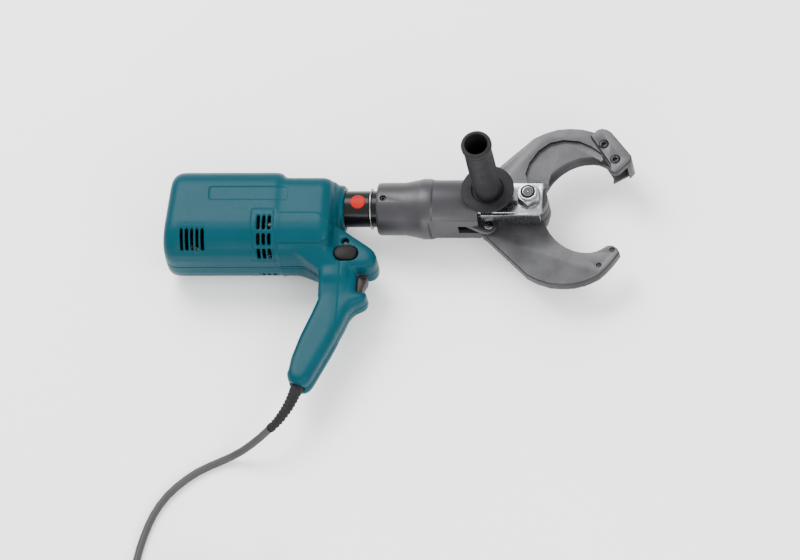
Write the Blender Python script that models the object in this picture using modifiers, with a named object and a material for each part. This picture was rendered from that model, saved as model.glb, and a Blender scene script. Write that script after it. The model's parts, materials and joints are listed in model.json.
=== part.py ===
"""Corded hydraulic scissor cutter with a pistol grip, a curved-jaw head and a side handle.

Frame: +X towards the jaws, +Y towards the tool's top, +Z up. The tool lies on its far side on z = 0.
Sizes are in millimetres up to the last step of each helper, which writes metres.
"""

import bmesh
import bpy
from math import atan2, cos, degrees, pi, radians, sin
from mathutils import Matrix, Vector

MM = 0.001
MID = 46.0              # height of the tool's mid-plane, which is also the housing's half width
GAP = 0.3               # gap between touching pieces

# Jaws: angles from the tool axis, open position
BLADE_THICK = 12.7
BLADE_OUTER = 111.0
HUB_RADIUS = 19.4
TAIL_REACH = 51.0
TAIL_ANGLE = 27.0
TAIL_BOSS = 10.5
CLOSE_ANGLE = 54.0
JAW_BEVEL = 15.0

# Linkage: one constant ratio stands for the link, so its rear eye is made this much larger than the pin
LINK_LENGTH = 62.0
LINK_TILT = 24.8
LINK_THICK = 6.4
EYE_PLAY = 3.4
RAM_PIN_X = -103.0
RAM_PIN_RADIUS = 4.8
TAIL_PIN_RADIUS = 5.0

# Head and barrel on the tool axis
BOLT_RADIUS = 8.0
THREAD_RADIUS = 5.8
CHEEK_INNER = 13.4
CHEEK_OUTER = 24.0
CHEEK_HALF_HEIGHT = 16.0
FAR_NOSE_RADIUS = 16.5
SLEEVE_FRONT = -56.0
SLEEVE_REAR = -167.0
SLEEVE_BORE = 22.0
SLOT_REAR = -79.0
BARREL_RADIUS = 19.7
BARREL_BORE = 16.0
BARREL_FRONT = -143.0
BARREL_REAR = -224.7
HANDLE_X = -43.3

# Housing
WALL = 3.0
BODY_REAR = -398.0
BODY_FRONT = -266.0
BODY_TOP = 30.4
BODY_BOTTOM = -71.0
FRONT_BLOCK = -213.0
FRONT_TOP = 23.0
FRONT_HALF = 45.0
COLLAR_FRONT = -209.0
COLLAR_HALF = 33.0
RING_FRONT = -203.0
RING_RADIUS = 26.0
UPPER_ROUND = 24.0          # radius of the motor body's upper long edges
LOWER_ROUND = 33.0          # and of its lower ones
NOSE_HALF = 21.5
GRIP_HALF = 16.5
MOTOR_Y = -17.0
BUTTON_PLACE = (-197.1, -64.7)

# Cord: route points in millimetres, above the floor
CORD_RADIUS = 4.25
CORD_HEIGHT = 4.4
COIL_CENTRE = (-348.0, -487.0)
COIL_RADIUS = 45.0
COIL_LAYERS = 3
PLUG_RADIUS = 18.5
CORD_ROUTE = (
    (-271.1, -262.8, 36.5), (-279.8, -268.8, 31.6), (-290.0, -273.6, 24.0), (-302.0, -277.6, 14.8),
    (-316.0, -281.8, 7.2), (-331.0, -287.6, 4.4), (-350.5, -298.0, 4.4), (-369.0, -313.0, 4.4),
    (-384.0, -330.0, 4.4), (-395.0, -350.0, 4.4), (-402.5, -372.0, 4.4), (-408.0, -396.0, 4.4),
    (-411.0, -420.0, 4.4), (-412.2, -445.0, 4.4), (-411.8, -468.0, 4.4), (-411.1, -485.0, 4.4),
)
TAIL_ROUTE = (
    (-331.6, -548.2, 20.6), (-321.0, -545.6, 18.0), (-308.0, -541.8, 13.6), (-294.0, -537.0, 11.6),
    (-281.0, -530.6, 12.8), (-269.8, -521.0, 15.8), (-263.4, -509.0, 18.2), (-262.0, -498.0, 18.6),
    (-262.0, -489.0, 18.6),
)
RELIEF_ROUTE = (
    (-240.9, -211.5, 46.0), (-243.0, -219.2, 46.0), (-245.9, -227.6, 46.0), (-250.2, -238.0, 45.0),
    (-256.4, -248.2, 43.0), (-263.4, -256.6, 40.0), (-270.6, -262.4, 36.7),
)

TEAL = (0.016, 0.135, 0.190)
COLOURS = {
    "housing": (TEAL, 0.0, 0.42),
    "black": ((0.012, 0.012, 0.014), 0.0, 0.45),
    "black_steel": ((0.014, 0.014, 0.016), 0.7, 0.35),
    "grey_steel": ((0.070, 0.068, 0.078), 0.55, 0.42),
    "blade": ((0.220, 0.220, 0.235), 0.85, 0.34),
    "bright": ((0.560, 0.560, 0.570), 1.0, 0.22),
    "rubber": ((0.022, 0.022, 0.024), 0.0, 0.75),
    "trigger": ((0.095, 0.060, 0.068), 0.0, 0.45),
    "copper": ((0.420, 0.160, 0.060), 1.0, 0.30),
    "laminate": ((0.180, 0.180, 0.190), 0.9, 0.45),
    "aluminium": ((0.420, 0.430, 0.440), 1.0, 0.38),
    "brass": ((0.520, 0.380, 0.130), 1.0, 0.30),
    "cord": ((0.090, 0.090, 0.092), 0.0, 0.60),
}


# ---------------------------------------------------------------- helpers

def clear_scene():
    for obj in list(bpy.data.objects):
        bpy.data.objects.remove(obj, do_unlink=True)


def collection(name, hidden=False):
    made = bpy.data.collections.new(name)
    bpy.context.scene.collection.children.link(made)
    made.hide_render = hidden
    return made


def material(name, kind):
    colour, metallic, roughness = COLOURS[kind]
    made = bpy.data.materials.new(name)
    made.use_nodes = True
    shader = made.node_tree.nodes["Principled BSDF"]
    shader.inputs["Base Color"].default_value = (*colour, 1.0)
    shader.inputs["Metallic"].default_value = metallic
    shader.inputs["Roughness"].default_value = roughness
    made.diffuse_color = (*colour, 1.0)
    return made


def group(name, x, y, z, parent=None):
    """An empty on a joint's axis, in millimetres, that carries one moving body."""
    empty = bpy.data.objects.new(name, None)
    empty.location = Vector((x, y, z)) * MM
    PARTS.objects.link(empty)
    if parent:
        attach(empty, parent)
    return empty


def attach(obj, parent):
    bpy.context.view_layer.update()
    obj.parent = parent
    obj.matrix_parent_inverse = parent.matrix_world.inverted()


def from_bmesh(mesh_data, name):
    """A helper object in metres from a bmesh in millimetres."""
    bmesh.ops.scale(mesh_data, vec=(MM, MM, MM), verts=mesh_data.verts)
    bmesh.ops.recalc_face_normals(mesh_data, faces=mesh_data.faces)
    mesh = bpy.data.meshes.new(name)
    mesh_data.to_mesh(mesh)
    mesh_data.free()
    obj = bpy.data.objects.new(name, mesh)
    CUTTERS.objects.link(obj)
    obj.hide_render = True
    obj.display_type = "WIRE"
    return obj


def round_over(shape, edges, radius, segments):
    bmesh.ops.bevel(shape, geom=edges, offset=radius, segments=segments, profile=0.5, affect="EDGES")


def box(low, high, rim=0.0, segments=2, name="box"):
    """A box between two corners, its edges rounded by rim."""
    shape = bmesh.new()
    size = [b - a for a, b in zip(low, high)]
    middle = [(a + b) / 2 for a, b in zip(low, high)]
    bmesh.ops.create_cube(shape, size=1.0, matrix=Matrix.Translation(middle) @ Matrix.Diagonal((*size, 1.0)))
    if rim:
        round_over(shape, shape.edges[:], rim, segments)
    return from_bmesh(shape, name)


def rod(start, end, radius, sides=24, end_radius=None, name="rod"):
    """A round or tapered rod between two points."""
    shape = bmesh.new()
    start, end = Vector(start), Vector(end)
    along = end - start
    turn = along.to_track_quat("Z", "Y").to_matrix().to_4x4()
    far_radius = radius if end_radius is None else end_radius
    bmesh.ops.create_cone(
        shape, cap_ends=True, segments=sides, radius1=radius, radius2=far_radius, depth=along.length,
        matrix=Matrix.Translation((start + end) / 2) @ turn)
    return from_bmesh(shape, name)


def mesh_of(obj, name):
    """The object's evaluated shape as a plain mesh object, its loose caps welded. The source is removed."""
    bpy.context.view_layer.update()
    graph = bpy.context.evaluated_depsgraph_get()
    mesh = bpy.data.meshes.new_from_object(obj.evaluated_get(graph))
    welded = bmesh.new()
    welded.from_mesh(mesh)
    bmesh.ops.remove_doubles(welded, verts=welded.verts, dist=0.00001)
    bmesh.ops.recalc_face_normals(welded, faces=welded.faces)
    welded.to_mesh(mesh)
    welded.free()
    made = bpy.data.objects.new(name, mesh)
    made.matrix_world = obj.matrix_world
    CUTTERS.objects.link(made)
    made.hide_render = True
    made.display_type = "WIRE"
    bpy.data.objects.remove(obj, do_unlink=True)
    return made


def flat(outline, low, high, rim=0.0, segments=2, name="flat"):
    """A plate between heights low and high from the mid-plane, cut to a closed outline in X and Y."""
    curve = bpy.data.curves.new(name, "CURVE")
    curve.dimensions = "2D"
    curve.fill_mode = "BOTH"
    curve.extrude = (high - low) / 2 * MM
    spline = curve.splines.new("POLY")
    spline.points.add(len(outline) - 1)
    for point, (x, y) in zip(spline.points, outline):
        point.co = (x * MM, y * MM, 0.0, 1.0)
    spline.use_cyclic_u = True
    obj = bpy.data.objects.new(name, curve)
    obj.location.z = ((low + high) / 2 + MID) * MM
    CUTTERS.objects.link(obj)
    plate = mesh_of(obj, name)
    if rim:
        shape = bmesh.new()
        shape.from_mesh(plate.data)
        bmesh.ops.dissolve_limit(shape, angle_limit=0.001, verts=shape.verts, edges=shape.edges)
        edges = [e for e in shape.edges
                 if sorted(abs(f.normal.z) > 0.9 for f in e.link_faces) == [False, True]]
        round_over(shape, edges, rim * MM, segments)
        shape.to_mesh(plate.data)
        shape.free()
    return plate


def turned(profile, origin, axis, sides=32, name="turned"):
    """A turned piece: (radius, distance along the axis) pairs, outer side first, from the far end back."""
    mesh = bpy.data.meshes.new(name)
    shape = bmesh.new()
    verts = [shape.verts.new((r * MM, 0.0, h * MM)) for r, h in profile]
    hollow = profile[0][0] > 0 and profile[-1][0] > 0
    for first, second in zip(verts, verts[1:] + verts[:1] if hollow else verts[1:]):
        shape.edges.new((first, second))
    shape.to_mesh(mesh)
    shape.free()
    obj = bpy.data.objects.new(name, mesh)
    obj.matrix_world = (Matrix.Translation(Vector(origin) * MM)
                        @ Vector(axis).to_track_quat("Z", "Y").to_matrix().to_4x4())
    CUTTERS.objects.link(obj)
    screw = obj.modifiers.new("Turn", "SCREW")
    screw.steps = sides
    screw.render_steps = sides
    screw.use_merge_vertices = True
    screw.merge_threshold = 0.00001
    return mesh_of(obj, name)


def tube(route, radius, name, cyclic=False, resolution=2, radii=None):
    """A round tube along a list of points in millimetres."""
    curve = bpy.data.curves.new(name, "CURVE")
    curve.dimensions = "3D"
    curve.bevel_depth = radius * MM
    curve.bevel_resolution = resolution
    curve.use_fill_caps = True
    spline = curve.splines.new("POLY")
    spline.points.add(len(route) - 1)
    for index, (x, y, z) in enumerate(route):
        spline.points[index].co = (x * MM, y * MM, z * MM, 1.0)
        if radii:
            spline.points[index].radius = radii[index]
    spline.use_cyclic_u = cyclic
    obj = bpy.data.objects.new(name, curve)
    CUTTERS.objects.link(obj)
    return obj


def boolean(obj, operation, *tools):
    for tool in tools:
        modifier = obj.modifiers.new(operation.title(), "BOOLEAN")
        modifier.operation = operation
        modifier.solver = "EXACT"
        modifier.object = tool
    return obj


def cut(obj, *tools):
    return boolean(obj, "DIFFERENCE", *tools)


def join(obj, *tools):
    return boolean(obj, "UNION", *tools)


def keep(obj, *tools):
    return boolean(obj, "INTERSECT", *tools)


def part(obj, name, kind, parent, smooth=True):
    """Turns a helper into a named sub-part with its own material, on its parent."""
    obj.name = name
    obj.data.name = name
    CUTTERS.objects.unlink(obj)
    PARTS.objects.link(obj)
    obj.hide_render = False
    obj.display_type = "TEXTURED"
    obj.data.materials.clear()
    obj.data.materials.append(material(name, kind))
    if smooth and obj.type == "MESH":
        obj.data.shade_smooth()
        obj.data.set_sharp_from_angle(angle=radians(32))
    attach(obj, parent)
    return obj


def arc(centre, radius, start, end, steps):
    """Points on an arc, angles in degrees from +X."""
    return [(centre[0] + radius * cos(radians(start + (end - start) * i / steps)),
             centre[1] + radius * sin(radians(start + (end - start) * i / steps))) for i in range(steps + 1)]


def polar(radius, angle):
    return radius * cos(radians(angle)), radius * sin(radians(angle))


def inset(outline, amount):
    """The outline moved inwards by amount, corner by corner. The outline runs clockwise or not."""
    area = sum(a[0] * b[1] - b[0] * a[1] for a, b in zip(outline, outline[1:] + outline[:1]))
    sign = 1.0 if area > 0 else -1.0
    moved = []
    for before, here, after in zip(outline[-1:] + outline[:-1], outline, outline[1:] + outline[:1]):
        first = Vector((here[0] - before[0], here[1] - before[1])).normalized()
        second = Vector((after[0] - here[0], after[1] - here[1])).normalized()
        normal = Vector((-first.y - second.y, first.x + second.x)).normalized() * sign
        reach = amount / max(0.5, normal.dot(Vector((-first.y, first.x)) * sign))
        moved.append((here[0] + normal.x * reach, here[1] + normal.y * reach))
    return moved


def mirrored(outline):
    return [(x, -y) for x, y in outline]


def smooth_route(points, spacing):
    """Points every spacing millimetres on a Catmull-Rom curve through the given points."""
    before = Vector(points[0]) * 2 - Vector(points[1])
    after = Vector(points[-1]) * 2 - Vector(points[-2])
    ends = [before, *map(Vector, points), after]
    fine = []
    for a, b, c, d in zip(ends, ends[1:], ends[2:], ends[3:]):
        for step in range(24):
            t = step / 24
            fine.append(0.5 * ((2 * b) + (c - a) * t + (2 * a - 5 * b + 4 * c - d) * t * t
                               + (3 * b - a - 3 * c + d) * t ** 3))
    fine.append(Vector(points[-1]))
    total = sum((q - p).length for p, q in zip(fine, fine[1:]))
    count = max(2, round(total / spacing))
    kept, travelled, target = [fine[0]], 0.0, total / count
    for p, q in zip(fine, fine[1:]):
        travelled += (q - p).length
        if travelled >= target * len(kept) - 1e-6 and len(kept) < count:
            kept.append(q)
    kept.append(fine[-1])
    return [tuple(p) for p in kept]


# ---------------------------------------------------------------- housing

def nose_outline():
    return [(-217, 4), (-212, -20), (-208, -28.5), (-190, -42), (-173, -53.6), (-166.4, -59.5), (-163.4, -66.5),
            (-163.6, -73), (-166.5, -77.8), (-171.5, -80.4), (-178, -81.2), (-192, -81.2), (-192, -98),
            (-223, -98), (-226, -84), (-234, -73), (-250, -66), (-254, 4)]


def grip_outline():
    return [(-186, -78), (-184.6, -84), (-184.6, -106.4), (-174.6, -107.4), (-172.4, -109.4), (-172.4, -115),
            (-175.6, -118.8), (-186, -124), (-191.5, -131), (-197, -146), (-206.2, -167), (-216.6, -189.3),
            (-226.5, -210.5), (-231, -216.8), (-236, -219), (-244.6, -217), (-250.4, -213), (-252.6, -205),
            (-250, -186), (-242.2, -160), (-232, -133.4), (-224, -111), (-222, -96), (-221, -78)]


def rounded_block(low, high, lean, upper_radius, lower_radius, rear_radius, front_radius):
    """A box along X with a leaning rear face, its long edges and both end rims rounded."""
    shape = bmesh.new()
    size = [b - a for a, b in zip(low, high)]
    middle = [(a + b) / 2 for a, b in zip(low, high)]
    bmesh.ops.create_cube(shape, size=1.0, matrix=Matrix.Translation((middle[0], middle[1], middle[2] + MID))
                          @ Matrix.Diagonal((*size, 1.0)))
    for vert in shape.verts:
        if vert.co.x < middle[0] and vert.co.y > middle[1]:
            vert.co.x += lean
    for height, radius in ((high[1], upper_radius), (low[1], lower_radius)):
        corners = {(round(height, 3), round(z + MID, 3)) for z in (low[2], high[2])}
        round_over(shape, [e for e in shape.edges
                           if all((round(v.co.y, 3), round(v.co.z, 3)) in corners for v in e.verts)
                           and abs(e.verts[0].co.x - e.verts[1].co.x) > size[0] / 2], radius, 5)
    rear = [e for e in shape.edges if all(v.co.x < middle[0] for v in e.verts)]
    if rear_radius:
        round_over(shape, rear, rear_radius, 3)
    front = [e for e in shape.edges if all(v.co.x > middle[0] for v in e.verts)]
    round_over(shape, front, front_radius, 2)
    return from_bmesh(shape, "block")


# Corners (x, y, half width) of the fairings from the motor body to the nose and from the nose to the grip
SHOULDER = ((-285, -16, 44.4), (-285, -46, 43.4), (-236, -16, 44.3), (-234, -52, 40.5), (-246, -67, 26),
            (-207.5, -34, 21.1), (-206, -78, 21.1), (-228, -80.5, 20.4))
NECK = ((-224.6, -76.3, 21.0), (-194.3, -76.6, 21.0), (-193.4, -81.0, 20.0),
        (-224.6, -112.7, 16.2), (-197.3, -116.4, 16.2))


def hull(corners):
    """The smallest convex solid around a set of corners and their mirror images across the mid-plane."""
    shape = bmesh.new()
    for x, y, half in corners:
        for side in (1, -1):
            shape.verts.new((x, y, MID + side * half))
    made = bmesh.ops.convex_hull(shape, input=shape.verts)
    spare = {item for item in made["geom_interior"] if isinstance(item, bmesh.types.BMVert)}
    bmesh.ops.delete(shape, geom=list(spare), context="VERTS")
    return from_bmesh(shape, "hull")


def housing_mass(shrink, name):
    """The whole clamshell as one solid, shrunk by a wall for its cavity."""
    def block(rear, bottom, front, top, half, *radii):
        low = (rear, bottom + shrink, -half + shrink)
        high = (front - shrink, top - shrink, half - shrink)
        return rounded_block(low, high, *radii)

    solid = block(BODY_REAR + shrink, BODY_BOTTOM, BODY_FRONT, BODY_TOP, MID,
                  8.0, UPPER_ROUND - shrink, LOWER_ROUND - shrink, 12.0 - shrink, 7.0 - shrink)
    solid.name = name
    front = block(-320, BODY_BOTTOM + 1.0, FRONT_BLOCK, FRONT_TOP, FRONT_HALF,
                  0.0, 20.0 - shrink, LOWER_ROUND - 1.0 - shrink, 0.0, 9.0 - shrink)
    collar = block(-250, -30, COLLAR_FRONT, FRONT_TOP - 0.5, COLLAR_HALF,
                   0.0, 15.0 - shrink, 15.0 - shrink, 0.0, 5.0 - shrink)
    masses = [rod((-225, 0, MID), (RING_FRONT - shrink, 0, MID), RING_RADIUS - shrink, 32)]
    if not shrink:
        masses.append(hull(SHOULDER))
        masses.append(hull(NECK))
    for outline, half, segments in ((nose_outline(), NOSE_HALF, 2), (grip_outline(), GRIP_HALF, 3)):
        masses.append(flat(inset(outline, shrink), -half + shrink, half - shrink, 6.5 - shrink, segments))
    return join(solid, front, collar, *masses)


def vent(x, first, last):
    """A slot 2.6 mm wide at x through the wall, round the body's lower edge.

    It runs between two angles from the side wall; one below zero is a length in millimetres up that wall."""
    centre_y = BODY_BOTTOM + LOWER_ROUND
    centre_z = MID - LOWER_ROUND
    steps = 6
    start = max(0.0, first)
    outer = [polar(LOWER_ROUND + 6, start + (last - start) * i / steps) for i in range(steps + 1)]
    inner = [polar(LOWER_ROUND - 6, start + (last - start) * i / steps) for i in range(steps + 1)]
    if first < 0:
        outer.insert(0, (LOWER_ROUND + 6, first))
        inner.insert(0, (LOWER_ROUND - 6, first))
    outline = outer + inner[::-1]
    slots = []
    for side in (1, -1):
        slot = flat([(side * (centre_z + along), centre_y - across) for along, across in outline], 0.0, 2.6)
        slot.data.transform(Matrix.Translation((0, 0, -MID * MM)) @ slot.matrix_world)
        slot.matrix_world = Matrix.Translation(Vector((x, 0, MID)) * MM) @ Matrix(
            ((0, 0, 1, 0), (0, 1, 0, 0), (-1, 0, 0, 0), (0, 0, 0, 1)))
        slots.append(slot)
    return slots


def vents():
    """A rear row of five slots and a block of three by three, on both sides."""
    slots = []
    for index in range(5):
        slots += vent(-376 + 5.7 * index, 14, 61)
    for column in range(3):
        for first, last in ((-7.5, 18), (24, 49), (55, 84)):
            slots += vent(-292.5 + 6.0 * column, first, last)
    return slots


# Clamshell screws: place, half length, and the side their heads are on
SCREW_PLACES = ((-198.2, -50.0, 19.5, 1), (-208.0, -119.0, 14.0, -1), (-238.0, -190.0, 14.0, -1),
                (-384.0, 4.0, 40.0, -1))


def housing(root):
    solid = housing_mass(0.0, "housing_solid")
    cavity = housing_mass(WALL, "housing_cavity")
    front_bore = rod((-230, 0, MID), (-200, 0, MID), BARREL_RADIUS + GAP, 32)
    trigger_way = box((-189.5, -107.2, MID - 8.4), (-170, -85.0, MID + 8.4))
    cord_way = rod((-238, -203, MID), (-245, -225, MID), 8.0, 20)
    cut(cavity, *[rod((x, y, -4), (x, y, 2 * MID + 4), 5.2, 12) for x, y, _, _ in SCREW_PLACES])
    ways = [rod((x, y, MID - side * (z - 4)), (x, y, MID + side * MID), 2.1, 10)
            for x, y, z, side in SCREW_PLACES]
    heads = {1: [], -1: []}
    for x, y, z, side in SCREW_PLACES:
        heads[side].append(rod((x, y, MID + side * (z - 6.5)), (x, y, MID + side * (MID + 5)), 4.3, 12))
    slots = vents()
    button_way = flat(stadium(BUTTON_PLACE, 27.6, 17.6), NOSE_HALF - 9, 50.0)
    for side, low, high in ((-1, -5, MID - GAP / 2), (1, MID + GAP / 2, 2 * MID + 5)):
        half = box((-420, -240, low), (-150, 60, high), name="half")
        keep(half, solid)
        cut(half, cavity)
        cut(half, front_bore, trigger_way, cord_way, *ways, *heads[side])
        if side > 0:
            cut(half, button_way)
        cut(half, *slots)
        part(half, "housing_near" if side > 0 else "housing_far", "housing", root)
    for index, (x, y, z, side) in enumerate(SCREW_PLACES, 1):
        shank = rod((x, y, MID - side * (z - 6)), (x, y, MID + side * (z - 6)), 1.8, 10)
        head = rod((x, y, MID + side * (z - 6.1)), (x, y, MID + side * (z - 3.2)), 3.9, 12)
        part(join(shank, head), "housing_screw_%d" % index, "black_steel", root)


# ---------------------------------------------------------------- motor, gear and pump

def motor(root):
    x_core = -343.0
    stator = turned(((36, 44), (36, 0), (27, 0), (27, 44)), (x_core, MOTOR_Y, MID), (1, 0, 0), 28)
    part(stator, "motor_stator", "laminate", root)
    for sign, label in ((1, "upper"), (-1, "lower")):
        coil = box((-351.5, MOTOR_Y + sign * 27 - 3.5, MID - 14), (-343.4, MOTOR_Y + sign * 27 + 3.5, MID + 14),
                   rim=2.0)
        part(coil, "field_coil_" + label, "copper", root)
        holder = box((-372, MOTOR_Y + sign * 23.5 - 9, MID - 5.5), (-360, MOTOR_Y + sign * 23.5 + 9, MID + 5.5))
        cut(holder, box((-369, MOTOR_Y + sign * 23.5 - 12, MID - 3.4),
                        (-363, MOTOR_Y + sign * 23.5 + 12, MID + 3.4)))
        part(holder, "brush_holder_" + label, "brass", root)
        brush = box((-368.7, MOTOR_Y + sign * 23 - 8, MID - 3.1), (-363.3, MOTOR_Y + sign * 23 + 8, MID + 3.1))
        part(brush, "carbon_brush_" + label, "black", root)
    for name, x, radius in (("rear_bearing", -385.0, 11.0), ("front_bearing", -283.0, 13.0)):
        ring = turned(((radius, 7), (radius, 0), (4.3, 0), (4.3, 7)), (x, MOTOR_Y, MID), (1, 0, 0), 20)
        part(ring, name, "bright", root)


def rotor(root):
    spin = group("rotor_axis", -320, MOTOR_Y, MID, root)
    shaft = rod((-388, MOTOR_Y, MID), (-258.5, MOTOR_Y, MID), 4.0, 16)
    part(shaft, "rotor_shaft", "bright", spin)
    core = turned(((25.5, 40), (25.5, 0), (4.3, 0), (4.3, 40)), (-341, MOTOR_Y, MID), (1, 0, 0), 24)
    part(core, "rotor_core", "laminate", spin)
    commutator = turned(((14.5, 12), (14.5, 0), (4.3, 0), (4.3, 12)), (-372, MOTOR_Y, MID), (1, 0, 0), 20)
    part(commutator, "commutator", "copper", spin)
    fan = turned(((20, 4), (34, 2), (34, 0), (4.3, 0), (4.3, 9), (8, 9)), (-296, MOTOR_Y, MID), (1, 0, 0), 20)
    part(fan, "cooling_fan", "black", spin)
    pinion = gear(12, 6.0, (-268, -260.5), MOTOR_Y)
    cut(pinion, rod((-275, MOTOR_Y, MID), (-250, MOTOR_Y, MID), 4.3, 16))
    part(pinion, "motor_pinion", "bright", spin, smooth=False)


def gear(teeth, pitch_radius, span, y):
    """A spur gear on an axis along X: a flat toothed outline, turned to face along X."""
    module = 2 * pitch_radius / teeth
    outline = []
    for index in range(teeth):
        for share, radius in ((-0.32, -1.1), (-0.14, 0.85), (0.14, 0.85), (0.32, -1.1)):
            angle = 2 * pi * (index + share) / teeth
            reach = pitch_radius + radius * module
            outline.append((reach * cos(angle), reach * sin(angle)))
    wheel = flat(outline, 0.0, span[1] - span[0], name="gear")
    wheel.data.transform(Matrix.Translation((0, 0, (span[1] - span[0]) / 2 * MM)))
    wheel.matrix_world = (Matrix.Translation(Vector((span[0], y, MID)) * MM)
                          @ Matrix.Rotation(radians(90), 4, "Y"))
    bpy.context.view_layer.update()
    return wheel


def pump(root):
    spin = group("gear_axis", -264, 0, MID, root)
    wheel = gear(22, 11.0, (-268, -261), 0.0)
    cut(wheel, rod((-275, 0, MID), (-250, 0, MID), 4.3, 16))
    part(wheel, "drive_gear", "bright", spin, smooth=False)
    shaft = rod((-272, 0, MID), (-244, 0, MID), 4.0, 16)
    join(shaft, rod((-257, 1.5, MID), (-247, 1.5, MID), 6.0, 20))
    part(shaft, "eccentric_shaft", "bright", spin)

    block = rod((-241, 0, MID), (-214.2, 0, MID), 22.6, 32)
    join(block, box((-256, -46, MID - 12), (-230, -14.5, MID + 12)))
    keep(block, box((-260, -50, MID - 30), (-205, FRONT_TOP - WALL - 1.6, MID + 30)))
    cut(block, rod((BARREL_REAR - GAP, 0, MID), (-205, 0, MID), BARREL_RADIUS + GAP, 32),
        rod((-262, 0, MID), (-243, 0, MID), 17.0, 24),
        rod((-251.5, -12, MID), (-251.5, -38, MID), 3.3, 14))
    part(block, "pump_block", "aluminium", root)
    plunger = rod((-251.5, -8.2, MID), (-251.5, -36, MID), 3.0, 14)
    join(plunger, rod((-251.5, -8.2, MID), (-251.5, -11, MID), 5.0, 14))
    part(plunger, "pump_plunger", "bright", root)
    bladder = box((-227, -64, MID - 15), (-205, -50, MID + 15), rim=5.0, segments=2)
    part(bladder, "oil_bladder", "rubber", root)


def stadium(centre, length, width):
    """A slot shape along X with round ends."""
    half = (length - width) / 2
    return (arc((centre[0] + half, centre[1]), width / 2, -90, 90, 6)
            + arc((centre[0] - half, centre[1]), width / 2, 90, 270, 6))


def controls(root):
    press = group("trigger_slide", -184, -96, MID, root)
    outline = [(-184.9, -85.6), (-173.4, -85.8), (-174.0, -90.5), (-176.4, -96), (-178.0, -101),
               (-178.2, -106.6), (-184.9, -106.6)]
    trigger = flat(outline, -8.0, 8.0, rim=1.5)
    join(trigger, box((-191.5, -101, MID - 4), (-184, -93, MID + 4)))
    part(trigger, "trigger", "trigger", press)
    switch = box((-216.4, -111.5, MID - 9.5), (-198, -86, MID + 9.5), rim=1.2, segments=1)
    part(switch, "switch_body", "black", root)

    push = group("button_slide", *BUTTON_PLACE, MID + NOSE_HALF - 5, root)
    button = flat(stadium(BUTTON_PLACE, 25.6, 15.6), NOSE_HALF - 4, NOSE_HALF + 3, rim=1.6)
    join(button, rod((*BUTTON_PLACE, MID + NOSE_HALF - 9), (*BUTTON_PLACE, MID + NOSE_HALF - 3), 4.0, 12))
    part(button, "release_button", "trigger", push)


# ---------------------------------------------------------------- barrel and ram

def barrel(root):
    pipe = turned(((BARREL_RADIUS, BARREL_FRONT - BARREL_REAR), (BARREL_RADIUS, 0), (BARREL_BORE, 0),
                   (BARREL_BORE, BARREL_FRONT - BARREL_REAR)), (BARREL_REAR, 0, MID), (1, 0, 0), 40)
    part(pipe, "barrel", "black_steel", root)
    ring = turned(((22.4, 1.6), (22.4, 0), (20.0, 0), (20.0, 1.6)), (-175.2, 0, MID), (1, 0, 0), 40)
    part(ring, "snap_ring", "bright", root)


def ram(head):
    slide = group("ram_slide", RAM_PIN_X, 0, MID, head)
    piston = turned(((0, 14), (15.7, 14), (15.7, 9), (13.2, 9), (13.2, 5), (15.7, 5), (15.7, 0), (0, 0)),
                    (-223, 0, MID), (1, 0, 0), 32)
    yoke_end = box((RAM_PIN_X - 12, -12, MID - 12.8), (RAM_PIN_X, 12, MID + 12.8))
    tip = rod((RAM_PIN_X, 0, MID - 12.8), (RAM_PIN_X, 0, MID + 12.8), 12.0, 24)
    slot = box((RAM_PIN_X - 15.5, -20, MID - LINK_THICK - 0.7), (RAM_PIN_X + 20, 20, MID + LINK_THICK + 0.7))
    block = join(yoke_end, tip)
    rear = box((RAM_PIN_X - 24, -12, MID - 12.8), (RAM_PIN_X - 11, 12, MID + 12.8))
    join(piston, rod((-210, 0, MID), (RAM_PIN_X - 20, 0, MID), 8.8, 24), rear, block)
    cut(piston, slot, rod((RAM_PIN_X, 0, MID - 20), (RAM_PIN_X, 0, MID + 20), RAM_PIN_RADIUS + GAP, 20))
    part(piston, "ram", "bright", slide)
    seal = turned(((15.9, 3.4), (15.9, 0), (13.5, 0), (13.5, 3.4)), (-217.7, 0, MID), (1, 0, 0), 28)
    part(seal, "piston_seal", "rubber", slide)
    pin = rod((RAM_PIN_X, 0, MID - 12.6), (RAM_PIN_X, 0, MID + 12.6), RAM_PIN_RADIUS, 20)
    part(pin, "ram_pin", "bright", slide)


# ---------------------------------------------------------------- head

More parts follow.
